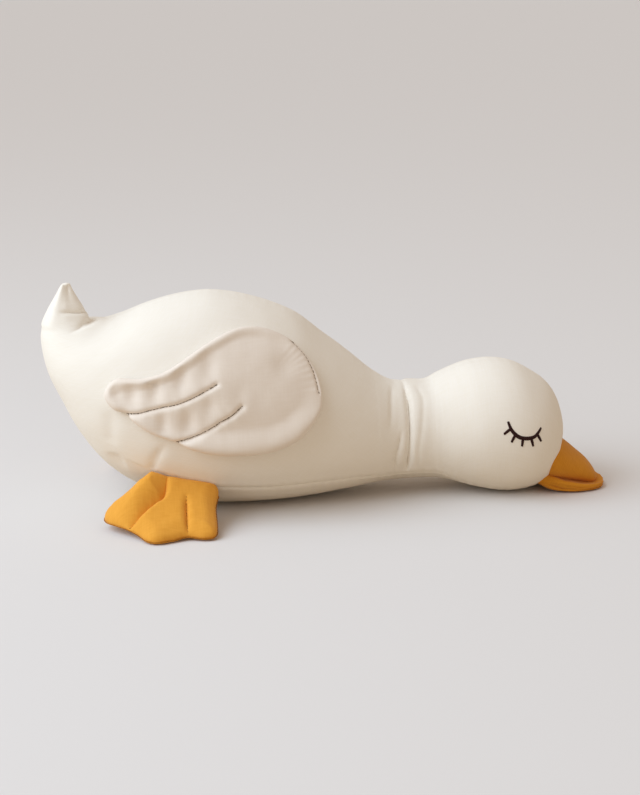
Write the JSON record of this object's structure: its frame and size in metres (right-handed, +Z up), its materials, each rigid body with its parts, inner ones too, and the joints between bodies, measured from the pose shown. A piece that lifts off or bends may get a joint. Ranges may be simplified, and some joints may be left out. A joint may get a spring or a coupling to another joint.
{
  "type": "plush duck",
  "caption": "Stuffed cloth duck asleep on its belly, neck stretched out along the floor, with flapping wings and feet and a head that nods and turns.",
  "frame": {"origin": "on the floor, at the middle of the duck's length and width", "axes": "+X toward the bill, +Y to the duck's left, +Z up"},
  "size_m": [0.4519, 0.2348, 0.1756],
  "materials": {
    "linen": "plain weave, matt",
    "wing_linen": "plain weave, matt",
    "foot_cotton": "plain weave, matt",
    "bill_cotton": "plain weave, matt",
    "filling": "loose polyester fibre",
    "eye_thread": "satin stitch",
    "dark_thread": "machine stitch",
    "foot_thread": "machine stitch"
  },
  "bodies": {
    "torso": {"side_panel_right": "linen", "side_panel_left": "linen", "belly_panel": "linen", "torso_filling": "filling", "wing_root_right": "wing_linen", "wing_root_left": "wing_linen", "shoulder_topstitch_right": "dark_thread", "shoulder_topstitch_left": "dark_thread", "foot_root_right": "foot_cotton", "foot_root_left": "foot_cotton"},
    "neck": {"neck_cover": "linen", "neck_filling": "filling"},
    "head": {"head_panel_right": "linen", "head_panel_left": "linen", "chin_panel": "linen", "head_filling": "filling", "bill_upper_cover": "bill_cotton", "bill_upper_filling": "filling", "bill_lower_cover": "bill_cotton", "bill_lower_filling": "filling", "eye_stitching_right": "eye_thread", "eye_stitching_left": "eye_thread"},
    "tail": {"tail_cover": "linen", "tail_filling": "filling"},
    "wing_right": {"wing_inner_panel_right": "wing_linen", "wing_wadding_right": "filling", "wing_outer_panel_right": "wing_linen", "feather_stitch_upper_right": "dark_thread", "feather_stitch_lower_right": "dark_thread"},
    "wing_left": {"wing_inner_panel_left": "wing_linen", "wing_wadding_left": "filling", "wing_outer_panel_left": "wing_linen", "feather_stitch_upper_left": "dark_thread", "feather_stitch_lower_left": "dark_thread"},
    "foot_right": {"foot_sole_panel_right": "foot_cotton", "foot_wadding_right": "filling", "foot_top_panel_right": "foot_cotton", "toe_stitch_inner_right": "foot_thread", "toe_stitch_outer_right": "foot_thread"},
    "foot_left": {"foot_sole_panel_left": "foot_cotton", "foot_wadding_left": "filling", "foot_top_panel_left": "foot_cotton", "toe_stitch_inner_left": "foot_thread", "toe_stitch_outer_left": "foot_thread"}
  },
  "joints": [
    {"name": "neck_turn", "type": "hinge", "parent": "torso", "child": "neck", "pos_m": [0.065, 0, 0.0535], "axis": [0, 0, 1], "range_deg": [-25, 25]},
    {"name": "neck_nod", "type": "hinge", "parent": "neck", "child": "head", "pos_m": [0.065, 0, 0.0535], "axis": [0, 1, 0], "range_deg": [-28, 12]},
    {"name": "tail_bend", "type": "hinge", "parent": "torso", "child": "tail", "pos_m": [-0.2062, 0, 0.1482], "axis": [0, 1, 0], "range_deg": [-12, 12], "stiffness_Nm_per_rad": 0.005},
    {"name": "wing_lift_right", "type": "hinge", "parent": "torso", "child": "wing_right", "pos_m": [-0.0172, -0.06196, 0.11543], "axis": [-0.2807, 0.3931, 0.8756], "range_deg": [0, 70]},
    {"name": "wing_lift_left", "type": "hinge", "parent": "torso", "child": "wing_left", "pos_m": [-0.0172, 0.06196, 0.11543], "axis": [0.2807, 0.3931, -0.8756], "range_deg": [0, 70]},
    {"name": "foot_flap_right", "type": "hinge", "parent": "torso", "child": "foot_right", "pos_m": [-0.11795, -0.06457, 0.03114], "axis": [-0.9657, 0.0156, 0.259], "range_deg": [-35, 45]},
    {"name": "foot_flap_left", "type": "hinge", "parent": "torso", "child": "foot_left", "pos_m": [-0.11795, 0.06457, 0.03114], "axis": [0.9657, 0.0156, -0.259], "range_deg": [-35, 45]}
  ]
}
